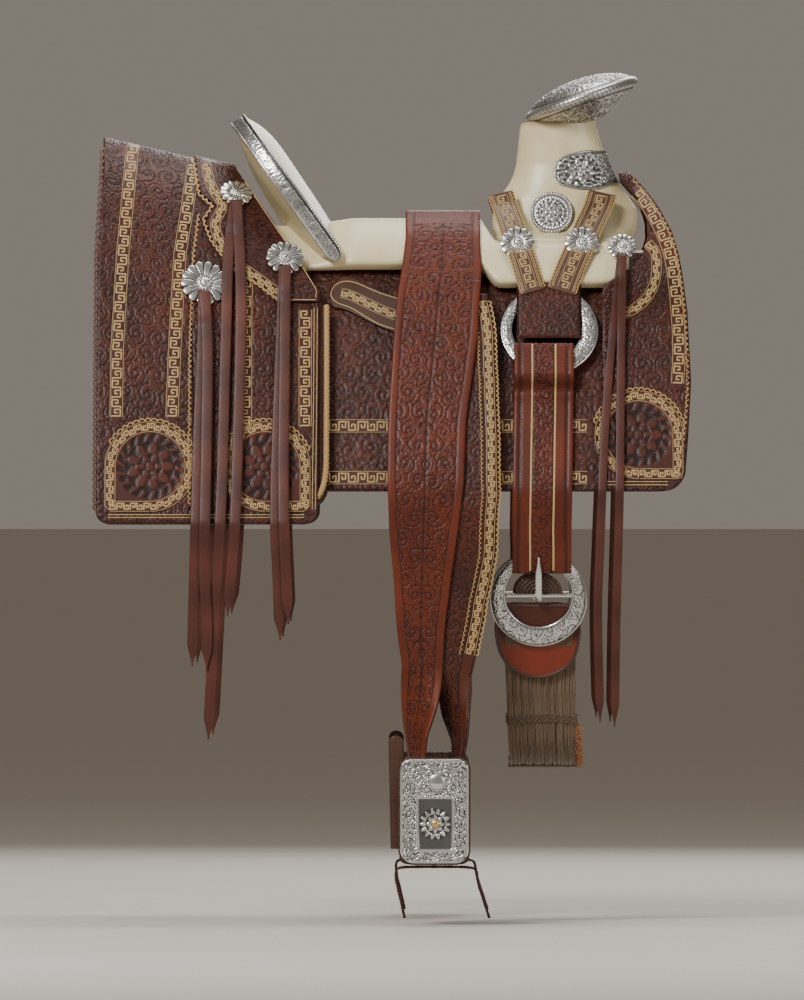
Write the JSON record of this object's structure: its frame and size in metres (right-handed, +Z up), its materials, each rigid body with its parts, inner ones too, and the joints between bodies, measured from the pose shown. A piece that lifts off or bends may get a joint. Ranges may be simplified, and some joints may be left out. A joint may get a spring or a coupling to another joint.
{
  "type": "stock saddle",
  "caption": "Silver-mounted stock saddle with a wide horn cap, rawhide tree, tooled leather skirts and bags, hanging stirrups and a cord cinch.",
  "frame": {"origin": "on the centre plane, level with the lower edges of the tree's bars at the seat: the level at which the saddle sits on the horse's back", "axes": "+X toward the horse's head, +Y toward the near (left) side, +Z up"},
  "size_m": [0.746, 0.648, 1.0664],
  "materials": {
    "rawhide": "smooth cream rawhide, lightly stained",
    "silver": "engraved silver, dark in the cuts",
    "tooled_leather": "dark plum-brown carved leather with pale stitching",
    "brown_leather": "reddish brown carved leather",
    "lining": "cream woolly lining",
    "thong": "soft unfinished latigo leather",
    "cinch_cord": "twisted horsehair cord"
  },
  "bodies": {
    "saddle": {"fork": "rawhide", "cantle": "rawhide", "horn_cap": "silver", "cantle_rim": "silver", "neck_front_medallion": "silver", "off_bar": "rawhide", "off_neck_medallion": "silver", "off_lining": "lining", "off_base_skirt": "tooled_leather", "off_bag": "tooled_leather", "off_bag_cover": "tooled_leather", "off_rear_jockey": "tooled_leather", "off_front_jockey": "tooled_leather", "off_rigging_tab": "tooled_leather", "off_rigging_ring": "silver", "off_rigging_yoke": "brown_leather", "off_leather_loop": "brown_leather", "off_rear_low_string": "thong", "off_rear_high_string": "thong", "off_rear_mid_string": "thong", "off_front_string": "thong", "near_bar": "rawhide", "near_neck_medallion": "silver", "near_lining": "lining", "near_base_skirt": "tooled_leather", "near_bag": "tooled_leather", "near_bag_cover": "tooled_leather", "near_rear_jockey": "tooled_leather", "near_front_jockey": "tooled_leather", "near_rigging_tab": "tooled_leather", "near_rigging_ring": "silver", "near_rigging_yoke": "brown_leather", "near_leather_loop": "brown_leather", "near_rear_low_string": "thong", "near_rear_high_string": "thong", "near_rear_mid_string": "thong", "near_front_string": "thong"},
    "off_leather_hinge": {"off_leather_hanger": "brown_leather"},
    "off_leathers": {"off_stirrup_leather": "brown_leather", "off_fender": "brown_leather"},
    "off_stirrup_body": {"off_stirrup": "brown_leather", "off_stirrup_plate": "silver", "off_stirrup_bolt": "silver", "off_stirrup_tie": "thong"},
    "off_tongue": {"off_buckle_tongue": "silver"},
    "near_leather_hinge": {"near_leather_hanger": "brown_leather"},
    "near_leathers": {"near_stirrup_leather": "brown_leather", "near_fender": "brown_leather"},
    "near_stirrup_body": {"near_stirrup": "brown_leather", "near_stirrup_plate": "silver", "near_stirrup_bolt": "silver", "near_stirrup_tie": "thong"},
    "near_tongue": {"near_buckle_tongue": "silver"},
    "cinch_rig": {"cinch": "cinch_cord", "off_latigo": "brown_leather", "off_buckle_ring": "silver", "off_cinch_safe": "brown_leather", "near_latigo": "brown_leather", "near_buckle_ring": "silver", "near_cinch_safe": "brown_leather"}
  },
  "joints": [
    {"name": "off_lift", "type": "hinge", "parent": "saddle", "child": "off_leather_hinge", "pos_m": [0.054, -0.124, 0.044], "axis": [-1, 0, 0], "range_deg": [0, 60]},
    {"name": "off_swing", "type": "hinge", "parent": "off_leather_hinge", "child": "off_leathers", "pos_m": [0.054, -0.12, 0.01], "axis": [0, -1, 0], "range_deg": [-12, 15]},
    {"name": "off_stirrup_pivot", "type": "hinge", "parent": "off_leathers", "child": "off_stirrup_body", "pos_m": [0.046, -0.242, -0.603], "axis": [0, -1, 0], "range_deg": [-50, 50]},
    {"name": "off_tongue_hinge", "type": "hinge", "parent": "cinch_rig", "child": "off_tongue", "pos_m": [0.174, -0.2001, -0.3701], "axis": [1, 0, 0], "range_deg": [0, 100]},
    {"name": "near_lift", "type": "hinge", "parent": "saddle", "child": "near_leather_hinge", "pos_m": [0.054, 0.124, 0.044], "axis": [1, 0, 0], "range_deg": [0, 60]},
    {"name": "near_swing", "type": "hinge", "parent": "near_leather_hinge", "child": "near_leathers", "pos_m": [0.054, 0.12, 0.01], "axis": [0, -1, 0], "range_deg": [-12, 15]},
    {"name": "near_stirrup_pivot", "type": "hinge", "parent": "near_leathers", "child": "near_stirrup_body", "pos_m": [0.046, 0.242, -0.603], "axis": [0, -1, 0], "range_deg": [-50, 50]},
    {"name": "near_tongue_hinge", "type": "hinge", "parent": "cinch_rig", "child": "near_tongue", "pos_m": [0.174, 0.2001, -0.3701], "axis": [-1, 0, 0], "range_deg": [0, 100]},
    {"name": "cinch_swing", "type": "hinge", "parent": "saddle", "child": "cinch_rig", "pos_m": [0.188, 0, -0.037], "axis": [0, -1, 0], "range_deg": [-8, 8]}
  ]
}
